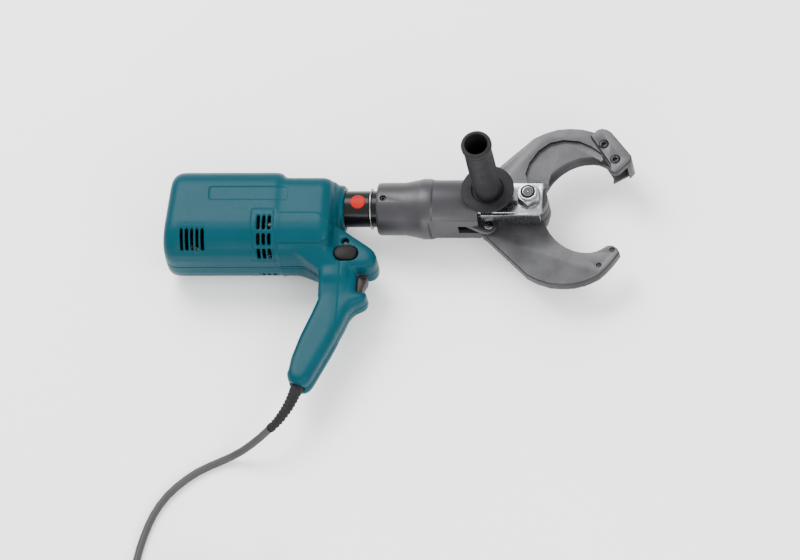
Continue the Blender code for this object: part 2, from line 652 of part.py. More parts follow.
def head_frame(root):
    head = group("head_swivel", -165, 0, MID, root)

    length = SLEEVE_FRONT - SLEEVE_REAR
    profile = ((31.4, length), (31.9, length - 1.2), (31.9, 62), (33.0, 60), (33.0, 49), (32.0, 46), (28.8, 30),
               (28.6, 3), (27.6, 0), (BARREL_RADIUS + GAP, 0), (BARREL_RADIUS + GAP, 22), (SLEEVE_BORE, 22),
               (SLEEVE_BORE, length))
    sleeve = turned(profile, (SLEEVE_REAR, 0, MID), (1, 0, 0), 32)
    for sign in (1, -1):
        cut(sleeve, box((-110, sign * 36 - 10.4, MID - 34), (-40, sign * 36 + 10.4, MID + 34), rim=3.0))
    cut(sleeve, box((SLOT_REAR, -50, MID - LINK_THICK - 1.0), (-40, 50, MID + LINK_THICK + 1.0)),
        rod((-159.5, -1.5, MID + 15), (-159.5, -1.5, MID + 40), 3.6, 14))
    part(sleeve, "sleeve", "grey_steel", head)
    screw = rod((-159.5, -1.5, MID + 20.4), (-159.5, -1.5, MID + 26.4), 3.2, 14)
    cut(screw, rod((-159.5, -1.5, MID + 24), (-159.5, -1.5, MID + 30), 1.6, 6))
    part(screw, "sleeve_screw", "black_steel", head)

    yoke = rod((-140, 0, MID), (-50, 0, MID), SLEEVE_BORE - GAP, 32)
    cheeks = box((SLEEVE_FRONT + GAP, -CHEEK_HALF_HEIGHT, MID - CHEEK_OUTER),
                 (0, CHEEK_HALF_HEIGHT, MID + CHEEK_OUTER))
    near_nose = rod((0, 0, MID), (0, 0, MID + CHEEK_OUTER - 0.02), HUB_RADIUS, 32)
    far_nose = rod((0, 0, MID - CHEEK_OUTER + 0.02), (0, 0, MID + 1), FAR_NOSE_RADIUS, 32)
    join(yoke, cheeks, near_nose, far_nose)
    cut(yoke, box((-128, -50, MID - CHEEK_INNER), (40, 50, MID + CHEEK_INNER)),
        rod((-145, 0, MID), (-120, 0, MID), 9.1, 24),
        rod((0, 0, 0), (0, 0, 2 * MID), BOLT_RADIUS + GAP, 28),
        rod((HANDLE_X, 0, MID + 20.4), (HANDLE_X, 0, MID + 30), 5.3, 20))
    part(yoke, "yoke", "grey_steel", head)

    pivot(head)
    bracket(head)
    side_handle(head)
    return head


def pivot(head):
    bolt = rod((0, 0, MID - 28), (0, 0, MID + CHEEK_OUTER), BOLT_RADIUS, 28)
    join(bolt, rod((0, 0, 0), (0, 0, 17.7), 11.4, 6), rod((0, 0, 17), (0, 0, 18.4), 10.2, 28),
         rod((0, 0, MID + 20), (0, 0, MID + 41.6), THREAD_RADIUS, 20))
    part(bolt, "pivot_bolt", "bright", head)
    washer = turned(((13.2, 3.0), (13.2, 0), (BOLT_RADIUS + GAP, 0), (BOLT_RADIUS + GAP, 3.0)),
                    (0, 0, MID - CHEEK_OUTER - 3.3), (0, 0, 1), 32)
    part(washer, "pivot_washer", "bright", head)
    nut = rod((0, 0, MID + 29.3), (0, 0, MID + 37.6), 13.3, 6)
    keep(nut, rod((0, 0, MID + 25.5), (0, 0, MID + 39.3), 17.0, 32, end_radius=10.6))
    join(nut, rod((0, 0, MID + 30), (0, 0, MID + 40.6), 9.9, 28))
    cut(nut, rod((0, 0, MID + 25), (0, 0, MID + 45), THREAD_RADIUS + GAP, 20),
        rod((0, 0, MID + 38.6), (0, 0, MID + 45), 8.0, 24))
    part(nut, "pivot_nut", "bright", head, smooth=False)


def bracket(head):
    outline = [(-55, -19.8), (12.6, -19.8), (14.6, -17.8), (14.6, 16.8), (-55, 16.8)]
    plate = flat(outline, CHEEK_OUTER + GAP, 29.0, rim=0.8, segments=1)
    lip = [(-51.6, 28.4), (-51.6, 15.0), (-30, 15.0), (-24, 13.6), (-19, 9.4), (-15, 8.4), (8.6, 8.4),
           (12.4, 12.0), (12.4, 28.4)]
    flange = flat(lip, 0.0, 2.6)
    flange.matrix_world = (Matrix.Translation(Vector((0, -19.8, MID)) * MM)
                           @ Matrix.Rotation(radians(90), 4, "X")
                           @ Matrix.Translation(Vector((0, 0, -MID)) * MM) @ flange.matrix_world)
    join(plate, flange)
    cut(plate, rod((0, 0, MID + 20), (0, 0, MID + 35), THREAD_RADIUS + GAP, 20),
        rod((HANDLE_X, 0, MID + 20), (HANDLE_X, 0, MID + 35), 5.3, 20))
    part(plate, "handle_bracket", "bright", head)


def side_handle(head):
    stud = rod((HANDLE_X, 0, MID + 20.8), (HANDLE_X, 0, MID + 66), 5.0, 20)
    part(stud, "handle_stud", "bright", head)
    profile = ((17.6, 18.1), (28.0, 18.1), (29.0, 17.3), (29.0, 15.5), (28.0, 14.7), (12.0, 14.7), (12.0, 0),
               (5.3, 0), (5.3, 15.9), (16.8, 15.9))
    flange = turned(profile, (HANDLE_X, 0, MID + 29.3), (0, 0, 1), 32)
    part(flange, "handle_flange", "rubber", head)
    profile = ((12.8, 105), (15.8, 105), (16.8, 103.8), (16.8, 99.6), (15.6, 98.4), (15.2, 96), (15.2, 50),
               (14.3, 0), (5.3, 0), (5.3, 20), (11.5, 24))
    grip = turned(profile, (HANDLE_X, 0, MID + 45.6), (0, 0, 1), 28)
    part(grip, "handle_grip", "rubber", head)


# ---------------------------------------------------------------- jaws

# Inner edge of the upper jaw from its hub to its tip: radius and angle about the pivot
INNER_EDGE = ((25, 51), (29, 52.8), (33, 54), (37.5, 54.4), (42, 54.1), (46, 53.7), (50, 52.9), (54, 51.9),
              (58, 50.7), (62, 49.4), (65.5, 48), (69, 46.7), (72, 45.3), (75, 43.9), (78, 42.2),
              (82.5, 39.8), (86.5, 37), (89.2, 34.6), (91.5, 32), (95, 27.5))
# Upper edge of the recess on the jaw's outer face; its lower side is open to the ground bevel
RECESS_EDGE = ((23, 101), (37, 103), (50, 95.5), (65, 86), (76, 77.5), (83.5, 68.5), (90, 58), (93.3, 48.5),
               (95.5, 40), (93, 36))
RECESS_DEPTH = 4.6


OUTER_EDGE = ((109.5, 50), (107.4, 55), (104, 61), (99, 68), (94, 75), (87, 83), (80, 91))
TIP_SCREWS = (polar(102.5, 41.8), polar(102.8, 29.0))


def blade_outline():
    """The upper blade, open: hub, inner edge, tip, outer edge, tail boss and back to the hub."""
    inner = [polar(HUB_RADIUS, 47)] + [polar(r, a) for r, a in INNER_EDGE]
    tip = [polar(100, 26), polar(106, 26.4)]
    outer = arc((0, 0), BLADE_OUTER, 28, 46, 6) + [polar(r, a) for r, a in OUTER_EDGE]
    boss = (-TAIL_REACH * cos(radians(TAIL_ANGLE)), TAIL_REACH * sin(radians(TAIL_ANGLE)))
    tail = arc(boss, TAIL_BOSS, 112, 244, 8)
    hub = arc((0, 0), HUB_RADIUS, 244, 395, 14)
    return inner + tip + outer + tail + hub


def jaw_bevel_cutter():
    """A wedge that grinds the inner edge of a jaw down to the mid-plane, on its outer face only."""
    profile = [polar(r, a) for r, a in INNER_EDGE]
    shape = bmesh.new()
    rings = []
    for index, (x, y) in enumerate(profile):
        before = profile[max(0, index - 1)]
        after = profile[min(len(profile) - 1, index + 1)]
        along = Vector((after[0] - before[0], after[1] - before[1])).normalized()
        out = Vector((-along.y, along.x))
        spread = min(1.0, index / 4.0, (len(profile) - 1 - index) / 4.0)
        ring = []
        corners = ((-8.0, -1.5), (JAW_BEVEL * spread + 1.5, BLADE_THICK + 1.9), (-8.0, BLADE_THICK + 8))
        for reach, height in corners:
            ring.append(shape.verts.new((x + out.x * reach, y + out.y * reach, MID + GAP / 2 + height)))
        rings.append(ring)
    for first, second in zip(rings, rings[1:]):
        for a, b in ((0, 1), (1, 2), (2, 0)):
            shape.faces.new((first[a], first[b], second[b], second[a]))
    shape.faces.new(rings[0])
    shape.faces.new(rings[-1][::-1])
    return from_bmesh(shape, "bevel_cutter")


def blade(head, side):
    """One blade with its tail pin, on a hinge at the pivot. The lower one is the upper one turned over."""
    sign = 1 if side == "upper" else -1
    hinge = group("blade_%s_hinge" % side, 0, 0, MID, head)
    boss = (-TAIL_REACH * cos(radians(TAIL_ANGLE)), TAIL_REACH * sin(radians(TAIL_ANGLE)))
    plate = flat(blade_outline(), GAP / 2, GAP / 2 + BLADE_THICK, rim=1.0, segments=1)
    holes = [rod((0, 0, MID - 10), (0, 0, MID + 20), BOLT_RADIUS + GAP, 28),
             rod((*boss, MID - 10), (*boss, MID + 20), TAIL_PIN_RADIUS + GAP, 20)]
    for x, y in TIP_SCREWS:
        holes.append(rod((x, y, MID - 10), (x, y, MID + 20), 3.4, 14))
    outline = [polar(r, a) for r, a in RECESS_EDGE + INNER_EDGE[:-3][::-1]]
    recess = flat(outline, GAP / 2 + BLADE_THICK - RECESS_DEPTH, 20.0)
    cut(plate, recess, jaw_bevel_cutter(), *holes)
    solid = mesh_of(plate, "blade_" + side)
    pin = rod((*boss, MID - LINK_THICK - 0.6), (*boss, MID + 12.7), TAIL_PIN_RADIUS, 20, name="tail_pin")
    if sign < 0:
        for obj in (solid, pin):
            turn = Matrix.Translation((0, 0, MID * MM)) @ Matrix.Rotation(pi, 4, "X")
            obj.data.transform(turn @ Matrix.Translation((0, 0, -MID * MM)) @ obj.matrix_world)
            obj.matrix_world = Matrix.Identity(4)
    part(solid, "blade_" + side, "blade", hinge)
    part(pin, "tail_pin_" + side, "bright", hinge)
    link(hinge, side, sign, boss)
    return hinge


def link(hinge, side, sign, boss):
    """The link from a blade's tail to the ram, drawn for the upper side and mirrored for the lower one."""
    swing = group("link_%s_hinge" % side, boss[0], sign * boss[1], MID, hinge)
    tilt = radians(LINK_TILT)
    eye = (boss[0] - LINK_LENGTH * cos(tilt), boss[1] - LINK_LENGTH * sin(tilt))
    square = degrees(atan2(boss[1] - eye[1], boss[0] - eye[0]))
    outline = arc(boss, 9.5, square - 90, square + 90, 8) + arc(eye, 11.6, square + 90, square + 270, 10)
    low, high = (-LINK_THICK - GAP, -GAP)
    holes = [(boss, TAIL_PIN_RADIUS + GAP), (eye, RAM_PIN_RADIUS + EYE_PLAY)]
    if sign < 0:
        outline = mirrored(outline)
        low, high = -high, -low
        holes = [((x, -y), r) for (x, y), r in holes]
    bar = flat(outline, low, high)
    cut(bar, *[rod((*place, MID - 20), (*place, MID + 20), radius, 24) for place, radius in holes])
    part(bar, "link_" + side, "grey_steel", swing)


def blade_guide(hinge):
    """The U-shaped guide that straddles the lower blade's tip, held to the upper blade by two sunk screws."""
    outline = [(61, 79), (69, 86.6), (74, 87.6), (79.5, 86), (84, 82.8), (107, 54.6), (107.6, 51.5),
               (106.6, 48),
               (104, 44.8), (94, 34.2), (89.3, 32.8), (86, 35), (84.7, 38), (84.7, 44.4)]
    top = 21.0
    guide = flat(outline, -16.6, top, rim=1.0, segments=1)
    far_end = [(70, 29.6), (87.7, 40.3), (104.6, 50.5), (125, 50.5), (125, 20), (70, 20)]
    shorter_far_wall = flat(far_end, -30, -13.0)
    cut(guide, rod((0, 0, MID - 13.3), (0, 0, MID + 13.3), BLADE_OUTER + 0.7, 96), shorter_far_wall)
    cut(guide, *[rod((x, y, MID), (x, y, MID + 30), 3.4, 14) for x, y in TIP_SCREWS],
        *[rod((x, y, MID + top - 5.4), (x, y, MID + 30), 5.7, 20) for x, y in TIP_SCREWS])
    part(guide, "blade_guide", "blade", hinge)
    for index, (x, y) in enumerate(TIP_SCREWS, 1):
        screw = rod((x, y, MID + 1), (x, y, MID + 17), 3.0, 14)
        join(screw, rod((x, y, MID + top - 5.1), (x, y, MID + top - 0.5), 5.1, 20))
        cut(screw, rod((x, y, MID + top - 3.2), (x, y, MID + 30), 2.6, 6))
        part(screw, "guide_screw_%d" % index, "black_steel", hinge)


# ---------------------------------------------------------------- cord

def cord(root):
    clamp = box((-247.5, -204.5, MID - 10.5), (-231, -197.6, MID + 10.5), rim=1.0, segments=1)
    cut(clamp, rod((-236.6, -196, MID), (-240.5, -209, MID), 5.6, 16))
    part(clamp, "cord_clamp", "black", root)
    route = smooth_route(RELIEF_ROUTE, 7.0)
    radii = [1.0 - 0.34 * i / (len(route) - 1) for i in range(len(route))]
    part(tube(route, 7.4, "relief", resolution=3, radii=radii), "strain_relief", "rubber", root)
    part(tube(smooth_route(CORD_ROUTE, 19.0), CORD_RADIUS, "cord_tube"), "cord", "cord", root)

    outer = COIL_RADIUS + 3 * CORD_RADIUS + 0.6
    inner = COIL_RADIUS - 3 * CORD_RADIUS - 0.6
    top = 2 * CORD_RADIUS * COIL_LAYERS + 0.4
    shoulder = top - 2 * CORD_RADIUS
    profile = ((COIL_RADIUS + 5, top), (outer - 4, top), (outer, top - 4), (outer, 4), (outer - 4, 0.1),
               (inner + 4, 0.1), (inner, 4), (inner, shoulder - 4), (inner + 4, shoulder))
    part(turned(profile, (*COIL_CENTRE, 0), (0, 0, 1), 32), "cord_coil", "cord", root)
    part(tube(smooth_route(TAIL_ROUTE, 10.0), CORD_RADIUS, "tail_tube"), "cord_tail", "cord", root)
    plug(root)


def plug(root):
    """A two-pin plug lying on its side, its nose towards the end of the cord."""
    x, nose, _ = TAIL_ROUTE[-1]
    face = nose + 2 * GAP + 46
    height = PLUG_RADIUS + 0.1
    outline = ((0, 46), (6.4, 46), (9.0, 40), (12.0, 22), (PLUG_RADIUS, 18), (PLUG_RADIUS, 0), (0, 0))
    shell = turned(outline, (x, face, height), (0, -1, 0), 24)
    pins = [(x + offset, face, height) for offset in (-9.5, 9.5)]
    cut(shell, *[rod((px, py - 8, pz), (px, py + 2, pz), 2.7, 14) for px, py, pz in pins])
    part(shell, "plug_body", "black", root)
    for side, (px, py, pz) in zip("ab", pins):
        part(rod((px, py - 7.6, pz), (px, py + 19, pz), 2.4, 14), "plug_pin_" + side, "brass", root)


clear_scene()
PARTS = collection("hydraulic_scissor_cutter")
CUTTERS = collection("cutters", hidden=True)
body = group("tool_body", 0, 0, 0)
housing(body)
motor(body)
rotor(body)
pump(body)
controls(body)
barrel(body)
head = head_frame(body)
upper = blade(head, "upper")
blade_guide(upper)
blade(head, "lower")
ram(head)
cord(body)
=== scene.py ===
"""Looks of the corded hydraulic scissor cutter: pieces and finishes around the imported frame, and its studio."""

import json
from math import atan2, cos, hypot, pi, radians, sin

import bmesh
import bpy
import numpy as np
from mathutils import Matrix, Vector


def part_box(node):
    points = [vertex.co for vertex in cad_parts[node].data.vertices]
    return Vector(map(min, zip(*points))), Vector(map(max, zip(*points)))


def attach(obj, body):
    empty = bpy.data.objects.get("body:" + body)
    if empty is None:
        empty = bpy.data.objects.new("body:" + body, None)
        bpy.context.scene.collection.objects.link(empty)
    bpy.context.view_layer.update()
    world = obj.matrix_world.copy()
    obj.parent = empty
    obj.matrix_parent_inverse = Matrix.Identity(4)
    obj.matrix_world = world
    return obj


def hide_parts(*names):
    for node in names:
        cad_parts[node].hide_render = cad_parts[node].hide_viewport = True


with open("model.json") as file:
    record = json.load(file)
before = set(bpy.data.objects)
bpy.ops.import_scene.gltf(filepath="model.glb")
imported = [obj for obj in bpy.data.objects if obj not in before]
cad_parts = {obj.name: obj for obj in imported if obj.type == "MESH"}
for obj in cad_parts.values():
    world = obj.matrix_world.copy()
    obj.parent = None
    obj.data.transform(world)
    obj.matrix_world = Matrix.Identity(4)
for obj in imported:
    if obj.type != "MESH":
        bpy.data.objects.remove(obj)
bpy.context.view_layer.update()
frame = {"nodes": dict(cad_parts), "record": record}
NODES = frame["nodes"]

MM = 0.001
MID = 46.0                                  # the tool's mid-plane above the floor, mm

# Camera: straight down the photograph's line of sight, nearly parallel
VIEW_BACK = Vector((0.14, -0.455, 0.88)).normalized()
VIEW_TARGET = Vector((-138.8, -86.4, MID)) * MM
VIEW_DISTANCE = 16.0
FRAME_WIDTH = 0.864
SENSOR = 36.0

# Studio, in metres and watts: name, place, size and power of each lamp
LAMPS = (("key", (-0.9, 1.0, 1.9), 1.4, 74.0), ("fill", (1.1, -1.3, 1.4), 1.2, 26.0),
         ("front", (-0.2, -1.6, 0.5), 0.8, 12.0))
LAMP_TARGET = Vector((-0.1, -0.05, 0.05))
WORLD_STRENGTH = 1.75
FLOOR_HALF = 6.0

# Cord route, in millimetres above the floor, as in the CAD
CORD_RADIUS = 4.25
COIL_CENTRE = Vector((-348.0, -487.0, 0.0))
COIL_RADIUS = 45.0
COIL_TURNS = 5
LAYER_TURNS = 2.12
CORD_ROUTE = (
    (-271.1, -262.8, 36.5), (-279.8, -268.8, 31.6), (-290.0, -273.6, 24.0), (-302.0, -277.6, 14.8),
    (-316.0, -281.8, 7.2), (-331.0, -287.6, 4.4), (-350.5, -298.0, 4.4), (-369.0, -313.0, 4.4),
    (-384.0, -330.0, 4.4), (-395.0, -350.0, 4.4), (-402.5, -372.0, 4.4), (-408.0, -396.0, 4.4),
    (-411.0, -420.0, 4.4), (-412.2, -445.0, 4.4), (-411.8, -468.0, 4.4), (-411.1, -485.0, 4.4),
)
TAIL_ROUTE = (
    (-331.6, -548.2, 20.6), (-321.0, -545.6, 18.0), (-308.0, -541.8, 13.6), (-294.0, -537.0, 11.6),
    (-281.0, -530.6, 12.8), (-269.8, -521.0, 15.8), (-263.4, -509.0, 18.2), (-262.0, -498.0, 18.6),
    (-262.0, -489.0, 18.6),
)
# Route of the strain relief, from inside the grip to the cord's free part
RELIEF_ROUTE = (
    (-240.9, -211.5, 46.0), (-243.0, -219.2, 46.0), (-245.9, -227.6, 46.0), (-250.2, -238.0, 45.0),
    (-256.4, -248.2, 43.0), (-263.4, -256.6, 40.0), (-270.6, -262.4, 36.7),
)


def linked(data, name):
    """A new object for the data, in the scene."""
    obj = bpy.data.objects.new(name, data)
    bpy.context.scene.collection.objects.link(obj)
    return obj


# ---------------------------------------------------------------- camera, light and floor

def studio():
    camera_on_the_line_of_sight()
    world = bpy.data.worlds.new("studio")
    world.use_nodes = True
    world.node_tree.nodes["Background"].inputs["Color"].default_value = (1.0, 1.0, 1.0, 1.0)
    world.node_tree.nodes["Background"].inputs["Strength"].default_value = WORLD_STRENGTH
    bpy.context.scene.world = world
    for name, place, size, power in LAMPS:
        lamp(name, place, size, power)

    mesh = bpy.data.meshes.new("floor")
    shape = bmesh.new()
    bmesh.ops.create_grid(shape, x_segments=1, y_segments=1, size=FLOOR_HALF)
    shape.to_mesh(mesh)
    shape.free()
    mesh.materials.append(surface("floor_paint", (0.96, 0.96, 0.96), 0.0, 0.8, tone=0.01, scale=3.0, bump=0.0,
                                  kept=1.0))
    linked(mesh, "floor")


def camera_on_the_line_of_sight():
    up = VIEW_BACK.cross(Vector((1, 0, 0))).normalized()
    right = up.cross(VIEW_BACK).normalized()
    data = bpy.data.cameras.new("camera")
    data.sensor_width = SENSOR
    data.lens = SENSOR * VIEW_DISTANCE / FRAME_WIDTH
    data.clip_end = 60.0
    camera = linked(data, "camera")
    turn = Matrix((right, up, VIEW_BACK)).transposed().to_4x4()
    camera.matrix_world = Matrix.Translation(VIEW_TARGET + VIEW_BACK * VIEW_DISTANCE) @ turn
    bpy.context.scene.camera = camera


def lamp(name, place, size, power):
    data = bpy.data.lights.new(name, "AREA")
    data.shape = "DISK"
    data.size = size
    data.energy = power
    obj = linked(data, name)
    obj.location = place
    obj.rotation_euler = (LAMP_TARGET - Vector(place)).to_track_quat("-Z", "Y").to_euler()


# ---------------------------------------------------------------- materials

OBJECT_TONE = 0.62                          # share kept of each albedo; the studio is bright for a pale floor
GLOSS_SPREAD = 0.08
RELIEF_HEIGHT = 0.0004


def surface(name, colour, metallic, roughness, tone=0.1, scale=60.0, bump=0.02, wear_and_highlight=0.0,
            wear_and_highlight_colour=(0.5, 0.5, 0.52), stretch=(1, 1, 1), sheen=0.5, with_painted_side_shade=False, kept=OBJECT_TONE):
    """A procedural finish: uneven tone and gloss, fine relief and, where asked, paler edges (worn metal on the
    steel, a painted highlight on the housing) and painted shade on the blade's sides.
    """
    colour = [c * kept for c in colour]
    wear_and_highlight_colour = [c * kept for c in wear_and_highlight_colour]
    made = bpy.data.materials.new(name)
    made.use_nodes = True
    tree = made.node_tree
    nodes, links = tree.nodes, tree.links
    shader = nodes["Principled BSDF"]
    shader.inputs["Metallic"].default_value = metallic
    shader.inputs["Specular IOR Level"].default_value = sheen
    place = nodes.new("ShaderNodeTexCoord")
    spread = nodes.new("ShaderNodeMapping")
    spread.inputs["Scale"].default_value = stretch
    links.new(place.outputs["Object"], spread.inputs["Vector"])

    broad = noise(tree, spread, scale, 4.0)
    mottle = nodes.new("ShaderNodeValToRGB")
    mottle.color_ramp.elements[0].position = 0.3
    mottle.color_ramp.elements[1].position = 0.7
    mottle.color_ramp.elements[0].color = (*[c * (1 - tone) for c in colour], 1)
    mottle.color_ramp.elements[1].color = (*[min(1.0, c * (1 + tone)) for c in colour], 1)
    links.new(broad.outputs["Fac"], mottle.inputs["Fac"])
    paint = mottle.outputs["Color"]
    if wear_and_highlight:
        paint = paint_edge_wear_and_highlight(tree, paint, wear_and_highlight, wear_and_highlight_colour, spread)
    # painted shade on the faces that turn away from the pivot axis
    if with_painted_side_shade:
        paint = painted_side_shade(tree, paint)
    links.new(paint, shader.inputs["Base Color"])

    fine = noise(tree, spread, scale * 9, 3.0)
    gloss = nodes.new("ShaderNodeMapRange")
    gloss.inputs["To Min"].default_value = max(0.02, roughness - GLOSS_SPREAD)
    gloss.inputs["To Max"].default_value = min(1.0, roughness + GLOSS_SPREAD)
    links.new(fine.outputs["Fac"], gloss.inputs["Value"])
    links.new(gloss.outputs["Result"], shader.inputs["Roughness"])
    if bump:
        relief = nodes.new("ShaderNodeBump")
        relief.inputs["Strength"].default_value = bump
        relief.inputs["Distance"].default_value = RELIEF_HEIGHT
        links.new(fine.outputs["Fac"], relief.inputs["Height"])
        links.new(relief.outputs["Normal"], shader.inputs["Normal"])
    return made


def noise(tree, place, scale, detail):
    made = tree.nodes.new("ShaderNodeTexNoise")
    made.inputs["Scale"].default_value = scale
    made.inputs["Detail"].default_value = detail
    tree.links.new(place.outputs["Vector"], made.inputs["Vector"])
    return made


def painted_side_shade(tree, paint):
    """Painted shade: ground bevels and edges are darkened against the flat faces across the blade's pivot axis,
    by how far their normals turn from that axis.
    """
    nodes, links = tree.nodes, tree.links
    facing = nodes.new("ShaderNodeTexCoord")
    split = nodes.new("ShaderNodeSeparateXYZ")
    links.new(facing.outputs["Normal"], split.inputs["Vector"])
    size = nodes.new("ShaderNodeMath")
    size.operation = "ABSOLUTE"
    links.new(split.outputs["Z"], size.inputs[0])
    share = nodes.new("ShaderNodeMapRange")
    share.inputs["From Min"].default_value = 0.82
    share.inputs["From Max"].default_value = 0.95
    share.inputs["To Min"].default_value = 0.3
    share.inputs["To Max"].default_value = 1.0
    links.new(size.outputs["Value"], share.inputs["Value"])
    dim = nodes.new("ShaderNodeMix")
    dim.data_type = "RGBA"
    dim.blend_type = "MULTIPLY"
    dim.inputs["Factor"].default_value = 1.0
    links.new(paint, dim.inputs["A"])
    links.new(share.outputs["Result"], dim.inputs["B"])
    return dim.outputs["Result"]


def paint_edge_wear_and_highlight(tree, paint, amount, wear_and_highlight_colour, place):
    """Mixes a paler colour in along convex edges, found from a rounded normal, broken up by noise: worn metal on
    the steel finishes, a painted highlight on the housing's plastic.
    """
    nodes, links = tree.nodes, tree.links
    rounded = nodes.new("ShaderNodeBevel")
    rounded.samples = 4
    rounded.inputs["Radius"].default_value = 0.0009
    flat = nodes.new("ShaderNodeNewGeometry")
    across = nodes.new("ShaderNodeVectorMath")
    across.operation = "DOT_PRODUCT"
    links.new(rounded.outputs["Normal"], across.inputs[0])
    links.new(flat.outputs["Normal"], across.inputs[1])
    edge = nodes.new("ShaderNodeMapRange")
    edge.inputs["From Min"].default_value = 0.995
    edge.inputs["From Max"].default_value = 0.90
    links.new(across.outputs["Value"], edge.inputs["Value"])
    broken = noise(tree, place, 260.0, 3.0)
    share = nodes.new("ShaderNodeMath")
    share.operation = "MULTIPLY"
    links.new(edge.outputs["Result"], share.inputs[0])
    links.new(broken.outputs["Fac"], share.inputs[1])
    scaled = nodes.new("ShaderNodeMath")
    scaled.operation = "MULTIPLY"
    scaled.inputs[1].default_value = amount * 1.6
    scaled.use_clamp = True
    links.new(share.outputs["Value"], scaled.inputs[0])
    mix = nodes.new("ShaderNodeMix")
    mix.data_type = "RGBA"
    mix.inputs["B"].default_value = (*wear_and_highlight_colour, 1)
    links.new(scaled.outputs["Value"], mix.inputs["Factor"])
    links.new(paint, mix.inputs["A"])
    return mix.outputs["Result"]


TEAL = (0.003, 0.064, 0.088)


def make_finishes():
    return {
        # Painted highlight: the housing's paler convex edges stand in for light catching the plastic's rims.
        "housing": surface("teal_plastic", TEAL, 0.0, 0.34, tone=0.05, scale=22, bump=0.16, wear_and_highlight=0.2,
                           wear_and_highlight_colour=(0.02, 0.15, 0.19), sheen=0.07),
        "black": surface("black_plastic", (0.010, 0.010, 0.011), 0.0, 0.5, tone=0.2, bump=0.2, sheen=0.15),
        "trigger": surface("brown_grey_plastic", (0.036, 0.024, 0.026), 0.0, 0.42, tone=0.08, bump=0.1,
                           sheen=0.12),
        "button": surface("dark_button", (0.011, 0.008, 0.008), 0.0, 0.45, tone=0.08, bump=0.1, sheen=0.1),
        "red": surface("red_film", (0.50, 0.016, 0.012), 0.0, 0.35, tone=0.06, bump=0.02, sheen=0.06),
        "black_steel": surface("black_enamel", (0.006, 0.006, 0.007), 0.1, 0.26, tone=0.2, bump=0.04,
                               wear_and_highlight=0.25, wear_and_highlight_colour=(0.10, 0.10, 0.11), sheen=0.18),
        "grey_steel": surface("grey_enamel", (0.034, 0.033, 0.039), 0.2, 0.40, tone=0.12, scale=45, bump=0.14,
                              wear_and_highlight=0.3, wear_and_highlight_colour=(0.16, 0.16, 0.17), sheen=0.4),
        # Painted shade: the blade's bevels and edges are darkened by which way they face.
        "blade": surface("ground_steel", (0.100, 0.100, 0.107), 0.5, 0.46, tone=0.2, scale=45, bump=0.16,
                         wear_and_highlight=0.5, wear_and_highlight_colour=(0.36, 0.36, 0.38), sheen=0.3, with_painted_side_shade=True),
        "bright": surface("plated_steel", (0.40, 0.41, 0.42), 1.0, 0.26, tone=0.08, scale=40, bump=0.05,
                          wear_and_highlight=0.2),
        "laminate": surface("steel_sheets", (0.18, 0.18, 0.19), 0.9, 0.45, stretch=(60, 1, 1), scale=20,
                            bump=0.3),
        "copper": surface("copper_wire", (0.42, 0.16, 0.06), 1.0, 0.32, tone=0.15, bump=0.2),
        "brass": surface("drawn_brass", (0.52, 0.38, 0.13), 1.0, 0.28, tone=0.08, bump=0.05),
        "aluminium": surface("cast_aluminium", (0.42, 0.43, 0.44), 1.0, 0.42, tone=0.08, bump=0.25),
        "rubber": surface("moulded_rubber", (0.017, 0.017, 0.019), 0.0, 0.6, tone=0.25, scale=80, bump=0.3,
                          sheen=0.12),
        "cord": surface("cord_rubber", (0.050, 0.050, 0.052), 0.0, 0.55, tone=0.1, bump=0.2, sheen=0.3),
    }


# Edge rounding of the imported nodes, in millimetres; the other nodes take EDGE
EDGE = 0.45
EDGES = {"blade_upper": 0.7, "blade_lower": 0.7, "blade_guide": 0.9, "handle_bracket": 0.8, "pivot_nut": 0.5,
         "plug_body": 0.9, "sleeve": 0.7, "trigger": 1.0, "release_button": 0.6, "handle_flange": 0.6,
         "handle_grip": 0.6, "cord_clamp": 0.4, "guide_screw_1": 0.3, "guide_screw_2": 0.3,
         "sleeve_screw": 0.3}
# Nodes with a finish of their own instead of their record slot's
OWN_FINISH = {"release_button": "button"}
# The jaws' ground bevels are shallow, so they take a smaller edge angle than the rest, in degrees
JAWS = ("blade_upper", "blade_lower")
JAW_ANGLE = 17
SHARP_ANGLE = 32
BEVEL_ANGLE = 24


def soften(obj, width):
    """Rounds the sharp edges with modifiers and shades the rest smoothly. The mesh itself stays as it is."""
    obj.data.shade_smooth()
    jaw = obj.name in JAWS
    obj.data.set_sharp_from_angle(angle=radians(JAW_ANGLE if jaw else SHARP_ANGLE))
    weld = obj.modifiers.new("Weld", "WELD")
    weld.merge_threshold = 0.00001
    plain = obj.modifiers.new("Flat faces", "DECIMATE")
    plain.decimate_type = "DISSOLVE"
    plain.angle_limit = radians(0.8)
    bevel = obj.modifiers.new("Rim", "BEVEL")
    bevel.width = width * MM
    bevel.segments = 2
    bevel.limit_method = "ANGLE"
    bevel.angle_limit = radians(JAW_ANGLE if jaw else BEVEL_ANGLE)
    bevel.harden_normals = True


def dress_cad_nodes():
    """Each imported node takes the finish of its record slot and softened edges."""
    slots = {entry["node"]: entry["material_slot"] for entry in frame["record"]["subparts"]}
    for name, obj in NODES.items():
        obj.data.materials.clear()
        obj.data.materials.append(FINISH[OWN_FINISH.get(name, slots[name])])
        soften(obj, EDGES.get(name, EDGE))


# ---------------------------------------------------------------- pieces

def show(obj, finish, body, slot, *stands_for):
    """Puts a finished piece on its body, with its material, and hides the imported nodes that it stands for."""
    obj.data.materials.clear()
    obj.data.materials.append(FINISH[finish])
    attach(obj, body)
    if stands_for:
        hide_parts(*stands_for)
    return obj


